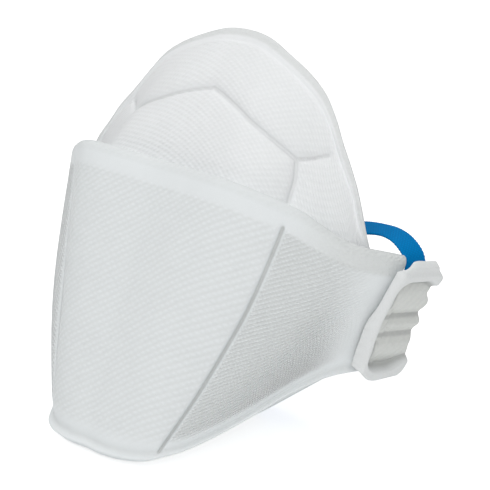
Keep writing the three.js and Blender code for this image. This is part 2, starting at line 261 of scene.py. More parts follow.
TAB_BOTTOM_SLOPE = (9, 17)
TAB_PANEL_EDGE = (4.8, 7.5)  # where the tab passes over the front panel's edge
TAB_PANEL_DROP = 4
TAB_PANEL_LEAN = 0.03  # and how fast that edge sinks along the tab
TAB_GROOVES = (19.4, 25.7)
TAB_DEPTH = 22
TAB_FEATHER = 0.25  # share of the tab's thickness at its foot
TAB_FEATHER_REACH = (0.3, 2.4)
TAB_BORDER_WELD = 1.3  # mm from the bay's border to the weld line inside it
# The bay's finish is its emboss and its painted shade, darker than the lips
TAB_BAY_FINISH = (-2.4, -0.6)  # where the bay's finish becomes the lip's
TAB_BAY_EMBOSS = 0.6

# ---- head strap: +X half of its centre line, from the upper run's middle to the lower run's ----
STRAP_LINE = np.array([
    (0, 8.5, 57.5),
    (16, 8.3, 59.3),
    (32, 7.8, 63.9),
    (46, 7.2, 68.4),
    (56, 6.8, 70.4),
    (64, 6.6, 71.0),
    (69.8, 6.3, 69.5),
    (74.2, 6.2, 65.4),
    (74.9, 5.7, 59.8),
    (73.0, 4.1, 52.1),
    (71.3, 2.0, 43.6),
    (69.9, 0.3, 35.6),
    (67.8, 1.0, 29.6),
    (62.0, 2.0, 26.8),
    (52, 3.2, 24.6),
    (38, 4.4, 20.4),
    (20, 5.4, 15.0),
    (0, 5.8, 12.5),
])
STRAP_TIP = 0.36  # rise of the upper run's rear edge
STRAP_TIP_FADE = (46, 72)  # x over which that rise fades out
STRAP_STEPS = 2.4  # rings of points for each mm of strap
STRAP_AROUND = 28  # points in a ring
STRAP_ROUNDING = (0.55, 0.5)  # how square the ring is, across and through the band
YARN_SLANT = 0.9  # mm along the strap for each mm across it
STRAP_RIB = 1.0  # width of a lengthwise rib

# ---- soft lights: place to the right of, above and in front of the mask as the camera faces it ----
LIGHT_DISTANCE = 1.3
STUDIO_LIGHTS = (  # name, across, above, towards, size in m, power in W
    ("left_key", -0.75, 0.75, 0.55, 0.9, 3.4),
    ("top_light", 0.0, 1.0, 0.1, 1.2, 6.2),
    ("front_fill", 0.1, 0.3, 1.0, 1.0, 5.4),
)


# ---- vectors and curves ----
def unit(vectors):
    return vectors / np.maximum(np.linalg.norm(vectors, axis=-1, keepdims=True), 1e-9)


def between(start, end, share):
    return start + (end - start) * np.asarray(share, float)[..., None]


def smooth_step(value, low, high):
    t = np.clip((value - low) / (high - low), 0, 1)
    return t * t * (3 - 2 * t)


def read_table(table, at):
    """Cubic curves through the rows of a table, whose first column is the key."""
    keys, values = table[:, 0], table[:, 1:]
    row = np.arange(len(keys))
    before, after = np.maximum(row - 1, 0), np.minimum(row + 1, len(keys) - 1)
    slopes = (values[after] - values[before]) / (keys[after] - keys[before])[:, None]
    at = np.asarray(at, float)
    i = np.clip(np.searchsorted(keys, at) - 1, 0, len(keys) - 2)
    span = (keys[i + 1] - keys[i])[..., None]
    t = np.clip((at[..., None] - keys[i][..., None]) / span, 0, 1)
    rise = (2 * t**3 - 3 * t**2 + 1) * values[i] + (3 * t**2 - 2 * t**3) * values[i + 1]
    return rise + span * ((t**3 - 2 * t**2 + t) * slopes[i] + (t**3 - t**2) * slopes[i + 1])


def edge(table, u):
    """Points of an edge whose table holds its right half, for u from -1 to 1."""
    both = np.vstack([table[1] * (-1, -1, 1, 1), table])
    u = np.asarray(u, float)
    points = read_table(both, np.abs(u))
    points[..., 0] *= np.where(u < 0, -1, 1)
    return points


def spaced(*stops):
    """Values along a line: (start, end, step) stretches, one after the other."""
    parts = []
    for start, end, step in stops:
        count = max(1, round(abs(end - start) / step))
        parts.append(np.linspace(start, end, count, endpoint=False))
    return np.append(np.concatenate(parts), stops[-1][1])


def rounded_start(radius):
    """Distances from a cut edge at which a sheet's half thickness grows round."""
    return radius * (1 - np.cos(np.radians([0, 20, 42, 66])))


def both_sides(stops, thickness, length):
    """Columns of a panel from -1 to 1, closer together at its two cut edges, length mm from the middle."""
    half = np.concatenate([spaced(*stops)[:-1], 1 - rounded_start(thickness / 2)[::-1] / length])
    return np.concatenate([-half[:0:-1], half])[:, None]


def grid_normals(grid):
    """Outward where columns run from left to right as seen from outside, and rows run down."""
    across = np.gradient(grid, axis=0)
    down = np.gradient(grid, axis=1)
    return unit(np.cross(down, across))


def lengths_along(grid, axis):
    """Distance along the grid's lines from their start."""
    steps = np.linalg.norm(np.diff(grid, axis=axis), axis=-1)
    start = np.zeros_like(np.take(steps, [0], axis=axis))
    return np.concatenate([start, np.cumsum(steps, axis=axis)], axis=axis)


def edge_roundness(grid, radius):
    """Share of the full thickness, which falls to nothing round each cut edge."""
    nearest = np.full(grid.shape[:2], 1e9)
    for axis in (0, 1):
        run = lengths_along(grid, axis)
        whole = np.take(run, [-1], axis=axis)
        nearest = np.minimum(nearest, np.minimum(run, whole - run))
    return np.sqrt(1 - (1 - np.clip(nearest / radius, 0, 1)) ** 2)


def from_middle(grid):
    """Distance across the grid from its middle column."""
    across = lengths_along(grid, 0)
    return across - across[[len(grid) // 2]]


def valley(distance, width):
    """Soft dent of depth 1 along a line, from the distance to it."""
    return np.exp(-((distance / width) ** 2))


def furrow_count(across, down, slants, sizes):
    """Emboss cells counted along both sets of furrows at each point of a facet."""
    slant = np.radians(slants)
    ways = np.stack([np.sin(slant), -np.cos(slant)])
    return np.stack([across, down], -1) @ ways / (sizes.emboss_pitch / MM)


def distance_to_lines(points, lines):
    """Shortest distance from each point to polylines."""
    nearest = np.full(points.shape[:-1], 1e9)
    for line in lines:
        for start, end in zip(line[:-1], line[1:]):
            way = end - start
            share = np.clip((points - start) @ way / (way @ way), 0, 1)
            gap = np.linalg.norm(points - start - share[..., None] * way, axis=-1)
            nearest = np.minimum(nearest, gap)
    return nearest


# ---- front panel ----
def front_normal(u, v):
    """Way outwards from the front panel."""

    def at(a, b):
        return between(edge(CREST, a), edge(SEAM, a), b)

    across = at(u + 0.01, v) - at(u - 0.01, v)
    down = edge(SEAM, u) - edge(CREST, u)
    return unit(np.cross(down, across))


def column_u(column, v):
    """u of a column that keeps to its side of the groove."""
    left, right = np.moveaxis(read_table(GROOVE_PATH, v), -1, 0)
    groove = np.where(np.asarray(column) < 0, right, left)
    a = np.abs(column) / GROOVE_COLUMN
    u = np.where(a < 1, a * groove, groove + (a - 1) * (1 - groove))
    return np.where(column < 0, -u, u)


def front_swell(column):
    """Share of the full swell across the front's three facets."""
    a = np.abs(column)
    middle = np.maximum(np.cos(np.minimum(a, 0.5) * np.pi), 0) ** 0.8
    side = np.sin(np.clip(2 * a - 1, 0, 1) ** 0.6 * np.pi)
    side = side * np.where(column < 0, RIGHT_WING_SWELL, 1.0)
    return np.where(a < 0.5, middle, side)


def seam_flange(u):
    """Way, normal and width of the welded flange below the front panel."""
    down = unit(edge(SEAM, u) - edge(CREST, u))
    out = front_normal(u, np.ones_like(u))
    way = down * math.cos(SEAM_ANGLE) + out * math.sin(SEAM_ANGLE)
    normal = out * math.cos(SEAM_ANGLE) - down * math.sin(SEAM_ANGLE)
    side = smooth_step(np.abs(u), 0.45, 0.75)
    return way, normal, SEAM_FLANGE + (SIDE_FLANGE - SEAM_FLANGE) * side


def front_sheet(thickness):
    """Plain middle surface of the front panel, and what its finish follows.

    Those are its columns, the share of the way down at each point, and the crest's and the seam's rows.
    """
    columns = both_sides(FRONT_COLUMNS, thickness, HALF_CREST_LENGTH)
    u_top, u_foot = column_u(columns, 0.0), column_u(columns, 1.0)
    top, foot = edge(CREST, u_top), edge(SEAM, u_foot)
    down = unit(edge(SEAM, u_top) - top)
    out = front_normal(u_top, np.zeros_like(u_top))
    length = np.linalg.norm(foot - top, axis=-1)

    depths = HEM_RETURN - np.concatenate([rounded_start(thickness / 2), spaced((1.2, 4.8, 0.9))])
    hem = top - out * 2 * HEM_RADIUS + down * depths[:, None]
    turn = np.linspace(np.pi, 0, 15)[:-1]
    roll = top + out * (HEM_RADIUS * (np.cos(turn) - 1))[:, None]
    roll = roll + down * (HEM_RADIUS * (1 - np.sin(turn)))[:, None]
    v = np.linspace(0, 1, 88)
    v = HEM_RADIUS / length + (1 - (HEM_RADIUS + FILLET) / length) * v
    u = column_u(columns, v)
    face = between(edge(CREST, u), edge(SEAM, u), v)
    way, _, width = seam_flange(u_foot)
    corner = foot + way * FILLET
    bend = np.linspace(0, 1, 8)[1:, None]
    fillet = (1 - bend) ** 2 * face[:, -1:] + 2 * bend * (1 - bend) * foot + bend**2 * corner
    widths = np.maximum(width, FILLET + 0.9)[..., None]
    rest = np.concatenate([[0.5], 1 - rounded_start(1.0)[::-1] * thickness / 2])[:, None]
    flange = corner + way * (widths - FILLET) * rest
    grid = np.concatenate([hem, roll, face, fillet, flange], axis=1)
    crest_row = hem.shape[1] + len(turn)
    seam_row = crest_row + face.shape[1] + 3
    share = np.zeros(grid.shape[:2])
    share[:, crest_row:seam_row] = np.linspace(0, 1, seam_row - crest_row)
    return grid, columns, share, crest_row, seam_row


def front_shape(sizes):
    """Outer and inner surface of the front panel, with what its cloth needs at each point."""
    thickness = sizes.panel_thickness / MM
    grid, columns, share, crest_row, seam_row = front_sheet(thickness)
    normals = grid_normals(grid)
    across = lengths_along(grid, 0)
    down = lengths_along(grid, 1)
    down = down - down[:, [crest_row]]
    grooves = [np.abs(columns[:, 0] - side * GROOVE_COLUMN).argmin() for side in (-1, 1)]
    groove = np.minimum(*(np.abs(across - across[[i]]) for i in grooves))
    beyond = np.maximum(GROOVE_TOP - down, 0) + np.maximum(down - down[:, [seam_row]], 0)
    groove = np.hypot(groove, beyond)
    seam_run = np.abs(down - down[:, [seam_row]])

    rise = np.where(columns < -GROOVE_COLUMN, share**1.5, share)
    pillow = FRONT_PILLOW * front_swell(columns) * np.maximum(np.sin(np.pi * rise), 0) ** 0.7
    dent = sizes.groove_depth / MM * valley(groove, sizes.groove_width / MM)
    dent = np.maximum(dent, sizes.seam_depth / MM * valley(seam_run, SEAM_ROOT))
    round_off = edge_roundness(grid, thickness / 2)
    outer = grid + normals * (thickness / 2 * round_off + (pillow - dent) * round_off)[..., None]
    inside = pillow + CREASE_INSIDE * dent
    inner = grid + normals * (-thickness / 2 * round_off + inside * round_off)[..., None]

    side = np.minimum(across, across[[-1]] - across)
    middle_plain, wing_plain = PLAIN_CREST
    plain = middle_plain + (wing_plain - middle_plain) * smooth_step(np.abs(columns), 0.4, 0.8)
    emboss = smooth_step(down - plain, 0.0, CREST_FADE) * smooth_step(side, *SIDE_FADE)
    emboss = emboss * smooth_step(groove, *GROOVE_FADE) * smooth_step(down[:, [seam_row]] - down, *SEAM_FADE)
    emboss = emboss * np.where(np.abs(columns) > GROOVE_COLUMN, 1.0, sizes.centre_emboss)
    left, right = (across - across[[i]] for i in grooves)
    wings = [WING_FINENESS * furrow_count(x, down, WING_SLANTS, sizes) for x in (-left, right)]
    cells = [wings[0], furrow_count(from_middle(grid), down, CENTRE_SLANTS, sizes), wings[1]]
    facet_of = np.searchsorted(grooves, np.arange(len(columns) - 1) + 0.5)

    roll = smooth_step(-down, -0.8, 0.8)
    emboss = np.maximum(emboss, ROLL_EMBOSS * roll)
    # Painted shade through the edge mask: the rolled edge, the wings' band below the crest and the valley
    # above the seam are darkened towards the furrows' shade colour
    wing = smooth_step(np.abs(columns), *WING_START)
    crest = CREST_SHADE * wing * smooth_step(CREST_SHADE_WIDTH - down, 0, 2)
    shade = np.maximum(roll * (ROLL_SHADE + (1 - ROLL_SHADE) * wing), crest)
    shade = np.maximum(shade, SEAM_SHADE * valley(seam_run, SEAM_SHADE_WIDTH))
    marks = dict(line=groove, emboss=emboss, edge=shade)
    return dict(outer=outer, inner=inner, cells=cells, facet_of=facet_of, **marks)


# ---- nose panel ----
def nose_foot(u):
    """The nose panel's lower edge, tucked behind the front panel's crest."""
    inward = 2 * HEM_RADIUS + PANEL_WALL + WELD_GAP
    down = unit(edge(SEAM, u) - edge(CREST, u))
    return edge(CREST, u) - front_normal(u, np.zeros_like(u)) * inward + down * NOSE_TUCK


def nose_surface(u, v):
    """Middle surface of the nose panel between its foot (v 0) and its rim (v 1)."""
    def at(a, b):
        return between(nose_foot(a), edge(NOSE_RIM, a), b)

    across = at(u + 0.01, v) - at(u - 0.01, v)
    normal = unit(np.cross(nose_foot(u) - edge(NOSE_RIM, u), across))
    length = np.linalg.norm(nose_foot(u) - edge(NOSE_RIM, u), axis=-1)
    ridge, dome = np.moveaxis(read_table(NOSE_RIDGE, np.abs(u)), -1, 0)
    band = np.maximum(1 - RIM_BAND / length, ridge + 0.1)
    above = 1 - np.clip((v - ridge) / (band - ridge), 0, 1) ** 1.5
    below = np.sin(np.clip(v / ridge, 0, 1) * np.pi / 2)
    swell = NOSE_DOME * dome * np.where(v > ridge, above, below)
    return at(u, v) + normal * swell[..., None]


def nose_lines():
    """Weld lines of the nose panel as close-set points on its surface, on both sides."""
    lines = []
    for line in NOSE_WELDS:
        stops = np.array(line, float)
        run = np.arange(len(stops))
        fine = np.linspace(0, len(stops) - 1, 24 * (len(stops) - 1))
        u = np.interp(fine, run, stops[:, 0])
        v = np.interp(fine, run, stops[:, 1])
        for side in (1, -1):
            lines.append(nose_surface(side * u, v))
    return lines


def nose_shape(sizes):
    """Outer and inner surface of the nose panel, with what its cloth needs at each point."""
    thickness = sizes.panel_thickness / MM
    flange = sizes.rim_thickness / MM
    u = both_sides(NOSE_COLUMNS, flange, HALF_CREST_LENGTH)
    length = np.linalg.norm(edge(NOSE_RIM, u) - nose_foot(u), axis=-1)
    near = np.concatenate([rounded_start(flange / 2), spaced((flange / 2 + 0.3, RIM_BAND + 2.5, 0.45))])
    far = np.linspace(0, 1, 64)[1:]
    last = length - near[-1]
    near_rim = np.broadcast_to(near, (len(u), len(near)))
    from_rim = np.concatenate([near_rim, near[-1] + last * far], axis=1)
    grid = nose_surface(np.broadcast_to(u, from_rim.shape), 1 - from_rim / length)
    normals = grid_normals(grid)
    welds = distance_to_lines(grid, nose_lines())
    root = np.abs(from_rim - RIM_BAND - 0.9)

    quilt = sizes.quilt_depth / MM * np.exp(-welds / NOSE_QUILT_REACH)
    dent = NOSE_WELD_SHARE * sizes.groove_depth / MM * valley(welds, sizes.groove_width / MM)
    dent = np.maximum(dent, sizes.seam_depth / MM * valley(root, NOSE_ROOT))
    inside = smooth_step(from_rim, RIM_BAND - 0.6, RIM_BAND + 1.6)
    body = (flange + (thickness - flange) * inside) / 2 * edge_roundness(grid, flange / 2)
    outer = grid + normals * (body - (quilt + dent) * inside)[..., None]
    inner = grid + normals * (-body + (CREASE_INSIDE * dent - quilt) * inside)[..., None]

    emboss = smooth_step(from_rim, RIM_BAND + 1.2, RIM_BAND + 2.6) * smooth_step(welds, 0.6, 1.6)
    rim = RIM_SHADE * (1 - smooth_step(from_rim, RIM_BAND - 1.2, RIM_BAND - 0.2))
    cells = furrow_count(from_middle(grid), lengths_along(grid, 1), NOSE_SLANTS, sizes)
    return dict(outer=outer, inner=inner, cells=[NOSE_FINENESS * cells], line=welds, emboss=emboss, edge=rim)


# ---- chin panel ----
def chin_shape(sizes):
    """Outer and inner surface of the chin panel, with what its cloth needs at each point."""
    thickness = sizes.panel_thickness / MM
    u = both_sides(CHIN_COLUMNS, thickness, CHIN_HALF_LENGTH)
    way, normal, width = seam_flange(u)
    foot = edge(SEAM, u) - normal * (PANEL_WALL + CHIN_GAP)
    hem = (1 - np.append(rounded_start(thickness / 2), 1.2) / SEAM_FLANGE)[None, :, None]
    flange = foot + way * (width - CHIN_FLANGE_CUT)[..., None] * np.clip(hem, 0, 1)
    rim = edge(CHIN_RIM, u)
    length = np.linalg.norm(rim - foot, axis=-1)
    v = np.concatenate([np.linspace(0, 1, 62)[:-1], [0.993]])[None, :]
    tail = 1 - rounded_start(thickness / 2)[::-1] / length
    v = np.concatenate([np.broadcast_to(v * 0.98, (len(u), v.shape[1])), tail], axis=1)
    swell = CHIN_PILLOW * np.sin(np.pi * v) ** 2 * np.sin(np.pi * np.abs(u))
    plain = between(foot, rim, v)
    sheet = plain + unit(plain - MASK_MIDDLE) * swell[..., None]
    grid = np.concatenate([flange, sheet], axis=1)
    normals = grid_normals(grid)
    round_off = edge_roundness(grid, thickness / 2)
    outer = grid + normals * (thickness / 2 * round_off)[..., None]
    inner = grid - normals * (thickness / 2 * round_off)[..., None]
    y = lengths_along(grid, 1)
    rim_side = y[:, [-1]] - y
    line = np.minimum(np.abs(rim_side - CHIN_WELDS[0]), np.abs(y - CHIN_WELDS[1]))
    emboss = smooth_step(rim_side, 5.0, 6.5) * smooth_step(y, 3.5, 5.0)
    cells = [furrow_count(from_middle(grid), y, CENTRE_SLANTS, sizes)]
    return dict(outer=outer, inner=inner, cells=cells, line=line, emboss=emboss, edge=0 * y)


# ---- side tabs ----
def tab_relief(along, distance, share, sizes):
    """Height of the tab over its plane: foot on the panel, bead, lips, and the ribbed bay between them."""
    floor, rim = np.moveaxis(read_table(TAB_PROFILE, share), -1, 0)
    foot, foot_height, bead = np.moveaxis(read_table(TAB_FRONT, share), -1, 0)
    behind = bead + TAB_BEAD_WIDTH + TAB_BAY_CORNER - distance
    top = TAB_BAY_TOP + TAB_BAY_TOP_DROP * smooth_step(distance, *TAB_TOP_SLOPE)
    bottom = TAB_BAY_BOTTOM - TAB_BAY_BOTTOM_RISE * smooth_step(distance, *TAB_BOTTOM_SLOPE)
    ends = np.maximum(top + TAB_BAY_CORNER - along, along - bottom + TAB_BAY_CORNER)
    outside = np.hypot(np.maximum(behind, 0), np.maximum(ends, 0)) - TAB_BAY_CORNER
    outside = outside + np.minimum(np.maximum(behind, ends), 0)
    middle, reach, place, width = TAB_HOLLOW
    hollow = sizes.bay_depth / MM * valley(along - middle, reach) * valley(outside - place, width)
    height = floor - hollow + (rim - floor + hollow) * smooth_step(outside, *TAB_BAY_SLOPE)
    over_edge = -TAB_PANEL_LEAN * along - TAB_PANEL_DROP * smooth_step(distance, *TAB_PANEL_EDGE)
    height = np.maximum(height, over_edge)
    climb = smooth_step(distance, foot - 0.7, bead + 1.3)
    return foot_height + (height - foot_height) * climb, outside


def tab_shape(sizes):
    """Outer and inner surface of the +X tab, with what its cloth needs at each point."""
    thickness = sizes.tab_thickness / MM
    height = np.linalg.norm(TAB_BOTTOM - TAB_TOP)
    start = rounded_start(thickness / 2)
    rows = np.concatenate([start / height, spaced((0.025, 0.975, 0.0085)), 1 - start[::-1] / height])
    columns = [start / TAB_DEPTH, spaced((0.045, 0.955, 0.0125)), 1 - start[::-1] / TAB_DEPTH]
    q = np.concatenate(columns)[:, None]
    share = np.broadcast_to(rows, (len(q), len(rows)))
    foot, rear = read_table(TAB_FRONT, share)[..., 0], read_table(TAB_REAR, share)[..., 0]
    distance = foot + q * (rear - foot)
    top, bottom = np.moveaxis(read_table(TAB_ENDS, distance), -1, 0)
    along = top + share * (height - bottom - top)
    relief, outside = tab_relief(along, distance, along / height, sizes)
    way, back = unit(TAB_BOTTOM - TAB_TOP), unit(TAB_BACK)
    normal = unit(np.cross(way, back))
    plain = TAB_TOP + way * along[..., None] + back * distance[..., None]
    feather = TAB_FEATHER + (1 - TAB_FEATHER) * smooth_step(distance - foot, *TAB_FEATHER_REACH)
    body = thickness / 2 * edge_roundness(plain, thickness / 2) * feather
    grid = plain + normal * relief[..., None]
    outer = grid + normal * body[..., None]
    inner = grid - normal * body[..., None]
    groove = np.minimum(*(np.abs(along - place) for place in TAB_GROOVES))
    border = np.abs(outside + TAB_BORDER_WELD) + 0.2
    line = np.minimum(groove + 9 * smooth_step(outside, -1.5, 0), border)
    cells = [furrow_count(distance, along, TAB_SLANTS, sizes)]
    # bay: where the tab is embossed and painted darker as shade in its recess; the lips lie outside it
    bay = 1 - smooth_step(outside, *TAB_BAY_FINISH)
    bead = read_table(TAB_FRONT, along / height)[..., 2]
    emboss = np.maximum(TAB_BAY_EMBOSS * bay, 1 - smooth_step(distance, bead - 1.0, bead + 0.8))
    return dict(outer=outer, inner=inner, cells=cells, line=line, emboss=emboss, edge=1 - bay)


def mirrored(shape):
    """The same shape on the other side."""
    flipped = dict(shape)
    for name in ("outer", "inner"):
        flipped[name] = (shape[name] * (-1, 1, 1))[::-1]
    for name in ("line", "emboss", "edge"):
        flipped[name] = shape[name][::-1]
    flipped["cells"] = [cells[::-1] for cells in shape["cells"]]
    return flipped


# ---- head strap ----
def strap_route():
    """Even points round the closed centre line, the way along it and the distance from its start."""
    stops = np.vstack([STRAP_LINE, STRAP_LINE[-2:0:-1] * (-1, 1, 1)])
    p0, p1, p2, p3 = (np.roll(stops, shift, axis=0) for shift in (1, 0, -1, -2))
    pairs = ((p0, p1), (p1, p2), (p2, p3))
    d0, d1, d2 = (np.sqrt(np.linalg.norm(b - a, axis=1))[:, None] for a, b in pairs)
    start = ((p1 - p0) / d0 - (p2 - p0) / (d0 + d1) + (p2 - p1) / d1) * d1
    end = ((p2 - p1) / d1 - (p3 - p1) / (d1 + d2) + (p3 - p2) / d2) * d1
    t = np.linspace(0, 1, 200, endpoint=False)[None, :, None]
    p1, p2, start, end = (a[:, None] for a in (p1, p2, start, end))
    fine = p1 + start * t + (3 * (p2 - p1) - 2 * start - end) * t**2 + (2 * (p1 - p2) + start + end) * t**3
    fine = fine.reshape(-1, 3)
    fine = np.vstack([fine, fine[:1]])
    run = lengths_along(fine[:, None], 0)[:, 0]
    count = round(run[-1] * STRAP_STEPS)
    at = np.arange(count) * run[-1] / count
    points = np.stack([np.interp(at, run, fine[:, k]) for k in range(3)], -1)
    ways = unit(np.roll(points, -1, axis=0) - np.roll(points, 1, axis=0))
    return points, ways, at


# ---- meshes ----
def show_piece(mesh, material, node):
    """Puts a finished mesh in the scene as the piece that stands for one CAD node."""
    mesh.shade_smooth()
    mesh.validate()
    mesh.materials.append(material)
    piece = bpy.data.objects.new(mesh.name, mesh)
    bpy.context.scene.collection.objects.link(piece)
    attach(piece, "root")
    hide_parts(node)


def face_corners(grid):
    """What each face of a grid has at its four corners, in order round the face."""
    return np.stack([grid[:-1, :-1], grid[:-1, 1:], grid[1:, 1:], grid[1:, :-1]], 2)


def new_mesh(name, points, faces, layer_name, layer_values):
    """A mesh from points in mm and four-sided faces, with one UV map."""
    mesh = bpy.data.meshes.new(name)
    mesh.from_pydata((points + ORIGIN_SHIFT) * MM, [], faces)
    layer = mesh.uv_layers.new(name=layer_name)
    layer.uv.foreach_set("vector", layer_values.astype(np.float32).ravel())
    return mesh


def split_corners(mesh, corners):
    """Cuts the faces at a sheet's corners from the corner inwards, so its two surfaces share no triangle."""
    shape = bmesh.new()
    shape.from_mesh(mesh)
    shape.verts.ensure_lookup_table()
    for corner in corners:
        point = shape.verts[corner]
        for face in list(point.link_faces):
            opposite = (list(face.verts).index(point) + 2) % 4
            bmesh.utils.face_split(face, point, face.verts[opposite])
    shape.to_mesh(mesh)
    shape.free()


def cloth_mesh(name, shape):
    """A closed sheet whose outer and inner surfaces meet at its cut edges."""
    outer, inner = shape["outer"], shape["inner"]
    columns, rows = outer.shape[:2]
    top = np.arange(columns * rows).reshape(columns, rows)
    under = top.copy()
    middle = np.arange((columns - 2) * (rows - 2)).reshape(columns - 2, rows - 2)
    under[1:-1, 1:-1] = columns * rows + middle
    points = np.concatenate([outer.reshape(-1, 3), inner[1:-1, 1:-1].reshape(-1, 3)])
    faces = np.concatenate([face_corners(top), face_corners(under)[..., ::-1]]).reshape(-1, 4)
    facet_of = shape.get("facet_of", np.zeros(columns - 1, int))
    cells = np.stack([face_corners(grid) for grid in shape["cells"]])[facet_of, np.arange(columns - 1)]
    mesh = new_mesh(name, points, faces, "emboss", np.concatenate([cells, cells[:, :, ::-1]]))
    for label in ("line", "emboss", "edge"):
        values = shape[label]
        both = np.concatenate([values.ravel(), values[1:-1, 1:-1].ravel()])
        mark = mesh.attributes.new(label + "_mask", "FLOAT", "POINT")
        mark.data.foreach_set("value", both.astype(np.float32))
    split_corners(mesh, top[[0, 0, -1, -1], [0, -1, 0, -1]])
    return mesh


def strap_mesh(name, sizes):
    """The closed elastic band, with rounded edges that the outer cords make slightly toothed."""
    width, thickness = sizes.strap_width / MM, sizes.strap_thickness / MM
    points, ways, at = strap_route()
    lean = np.clip(points[:, 0] / TAB_TOP[0], -1, 1)
    inboard = 1 - smooth_step(np.abs(points[:, 0]), *STRAP_TIP_FADE)
    tip = STRAP_TIP * inboard * smooth_step(points[:, 2], 40, 50)
    back = np.stack([TAB_BACK[0] * lean, np.full_like(lean, TAB_BACK[1]), tip], -1)
    flat_way = unit(np.cross(ways, back))
    wide_way = unit(np.cross(flat_way, ways))
    turn = np.linspace(0, 2 * np.pi, STRAP_AROUND, endpoint=False)
    wide = np.sign(np.cos(turn)) * np.abs(np.cos(turn)) ** STRAP_ROUNDING[0] * width / 2
    flat = np.sign(np.sin(turn)) * np.abs(np.sin(turn)) ** STRAP_ROUNDING[1] * thickness / 2
    tooth = sizes.strap_tooth / MM * np.sin(2 * np.pi * at / (sizes.strap_stitch / MM))
    share = np.abs(wide) / (width / 2)
    reach = wide + np.sign(wide) * share**8 * (tooth[:, None] - sizes.strap_tooth / MM)
    ring = points[:, None] + wide_way[:, None] * reach[..., None] + flat_way[:, None] * flat[None, :, None]
    index = np.arange(len(at) * STRAP_AROUND).reshape(len(at), STRAP_AROUND)
    faces = face_corners(np.pad(index, ((0, 1), (0, 1)), "wrap")).reshape(-1, 4)
    run = np.append(at, at[1] * len(at))
    weave = np.stack(np.meshgrid(run, np.append(wide, wide[0]), indexing="ij"), -1)
    return new_mesh(name, ring.reshape(-1, 3), faces, "weave", face_corners(weave))


# ---- shader helpers ----
def add_node(tree, kind, inputs=None, **settings):
    """A node with its settings, and its inputs given by name or number as values or sockets."""
    node = tree.nodes.new("ShaderNode" + kind)
    for label, value in settings.items():
        setattr(node, label, value)
    for label, value in (inputs or {}).items():
        if isinstance(value, bpy.types.NodeSocket):
            tree.links.new(value, node.inputs[label])
        else:
            node.inputs[label].default_value = value
    return node


def calculate(tree, operation, *values, clamp=False):
    """Output of a Math node."""
    node = add_node(tree, "Math", dict(enumerate(values)), operation=operation, use_clamp=clamp)
    return node.outputs[0]


def times(tree, first, second):
    return calculate(tree, "MULTIPLY", first, second)


def plus(tree, first, second):
    return calculate(tree, "ADD", first, second)


def times_plus(tree, first, second, third):
    return calculate(tree, "MULTIPLY_ADD", first, second, third)


def ramp_between(tree, value, low, high, start=0.0, end=1.0):
    """Smooth step of a value from start at low to end at high."""
    inputs = {"Value": value, "From Min": low, "From Max": high, "To Min": start, "To Max": end}
    return add_node(tree, "MapRange", inputs, interpolation_type="SMOOTHSTEP").outputs["Result"]


def wave(tree, run, pitch):
    """Soft wave between 0 and 1 along a run."""
    turn = calculate(tree, "COSINE", times(tree, run, 2 * math.pi / pitch))
    return times_plus(tree, turn, 0.5, 0.5)


def tinted(tree, shade, mask, colour):
    """A shade that turns to another colour where a mask is 1."""
    inputs = {0: mask, 6: shade, 7: (*colour, 1)}
    return add_node(tree, "Mix", inputs, data_type="RGBA").outputs[2]


def grey(tree, level):
    return add_node(tree, "CombineColor", {0: level, 1: level, 2: level}).outputs[0]


def darkened(tree, shade, level):
    """A shade times a grey level."""
    inputs = {0: 1.0, 6: shade, 7: grey(tree, level)}
    return add_node(tree, "Mix", inputs, data_type="RGBA", blend_type="MULTIPLY").outputs[2]


def attribute(tree, name):
    return add_node(tree, "Attribute", attribute_name=name).outputs["Fac"]


def uv_map(tree, name):
    return add_node(tree, "UVMap", uv_map=name).outputs["UV"]


def object_place(tree):
    return add_node(tree, "TexCoord").outputs["Object"]


def new_group(name, inputs, outputs):
    """An empty shader node group: inputs have their default or, for a vector, None."""
    group = bpy.data.node_groups.new(name, "ShaderNodeTree")
    for label, default in inputs.items():
        kind = "NodeSocketVector" if default is None else "NodeSocketFloat"
        socket = group.interface.new_socket(label, in_out="INPUT", socket_type=kind)
        if default is not None:
            socket.default_value = default
    for label in outputs:
        group.interface.new_socket(label, in_out="OUTPUT", socket_type="NodeSocketFloat")
    entry = group.nodes.new("NodeGroupInput")
    leave = group.nodes.new("NodeGroupOutput")
    return group, entry.outputs, leave.inputs


def place_group(tree, name, inputs):
    """Outputs of a shared effect placed in a material, which is built when it is first wanted."""
    group = bpy.data.node_groups.get(name) or GROUP_MAKERS[name](name)
    return add_node(tree, "Group", inputs, node_tree=group).outputs


def new_material(name):
    material = bpy.data.materials.new(name)
    material.use_nodes = True
    return material, material.node_tree


def finish_material(material, surface, colour, roughness, height=None):
    """Finishes a material's Principled BSDF; surface holds the values set on its own sockets."""
    tree = material.node_tree
    shader = tree.nodes["Principled BSDF"]
    for label, value in surface.items():
        shader.inputs[label].default_value = value
    tree.links.new(colour, shader.inputs["Base Color"])
    tree.links.new(roughness, shader.inputs["Roughness"])
    if height is not None:
        node = add_node(tree, "Bump", {"Strength": 1.0, "Distance": MM, "Height": height})
        tree.links.new(node.outputs["Normal"], shader.inputs["Normal"])
    return material


